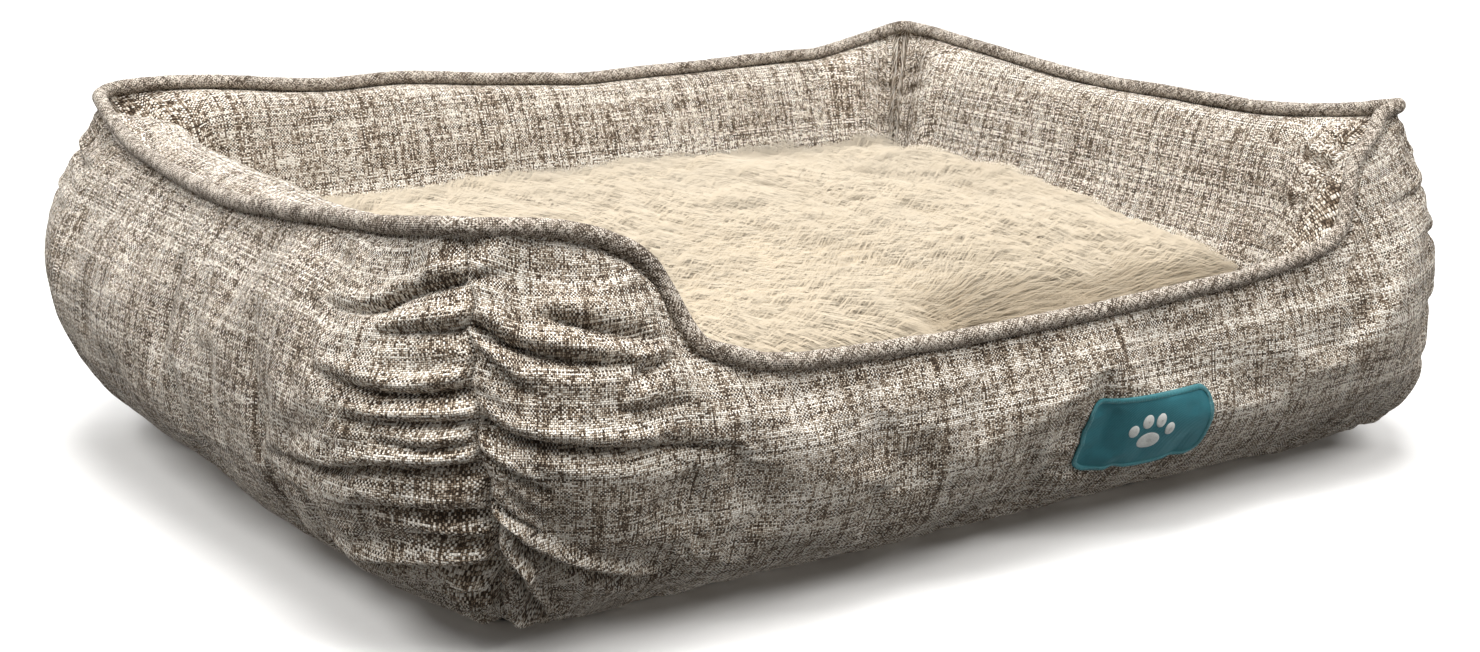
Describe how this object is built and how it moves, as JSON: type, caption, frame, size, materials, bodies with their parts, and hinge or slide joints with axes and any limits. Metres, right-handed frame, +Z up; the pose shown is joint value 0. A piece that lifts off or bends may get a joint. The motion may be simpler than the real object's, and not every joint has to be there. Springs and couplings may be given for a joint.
{
  "type": "dog sofa bed",
  "caption": "Rectangular dog sofa bed with stuffed linen-look walls, piped rim, a step-in dip in front and a removable fur-topped cushion.",
  "frame": {"origin": "centre of the base on the floor", "axes": "+X to the right along the front wall, +Y from the front wall to the back wall, +Z up"},
  "size_m": [0.7502, 0.6088, 0.2161],
  "materials": {
    "linen_weave": "matte",
    "piping_cloth": "matte",
    "fur": "matte",
    "underside_cloth": "matte",
    "base_cloth": "matte",
    "lining_cloth": "matte",
    "wadding": "matte",
    "cord": "matte",
    "patch_cloth": "satin",
    "patch_thread": "satin",
    "zip_cloth": "matte",
    "zip_nylon": "satin",
    "zip_metal": "satin"
  },
  "bodies": {
    "bed": {"bottom_sheet": "base_cloth", "floor_wadding": "wadding", "floor_lining": "lining_cloth", "front_outer_panel": "linen_weave", "front_inner_panel": "linen_weave", "front_filling": "wadding", "front_piping_cover": "piping_cloth", "front_piping_cord": "cord", "right_outer_panel": "linen_weave", "right_inner_panel": "linen_weave", "right_filling": "wadding", "right_piping_cover": "piping_cloth", "right_piping_cord": "cord", "back_outer_panel": "linen_weave", "back_inner_panel": "linen_weave", "back_filling": "wadding", "back_piping_cover": "piping_cloth", "back_piping_cord": "cord", "left_outer_panel": "linen_weave", "left_inner_panel": "linen_weave", "left_filling": "wadding", "left_piping_cover": "piping_cloth", "left_piping_cord": "cord", "patch": "patch_cloth", "patch_border": "patch_thread"},
    "cushion": {"cushion_fur_top": "fur", "cushion_underside": "underside_cloth", "cushion_filling": "wadding", "zip_tape": "zip_cloth", "zip_coil": "zip_nylon"},
    "zip_slider": {"zip_slider": "zip_metal", "zip_pull": "zip_metal"}
  },
  "joints": [
    {"name": "cushion_lift", "type": "slide", "parent": "bed", "child": "cushion", "axis": [0, 0, 1], "range_m": [0, 0.3]},
    {"name": "zip_run", "type": "slide", "parent": "cushion", "child": "zip_slider", "axis": [1, 0, 0], "range_m": [0, 0.262]}
  ]
}
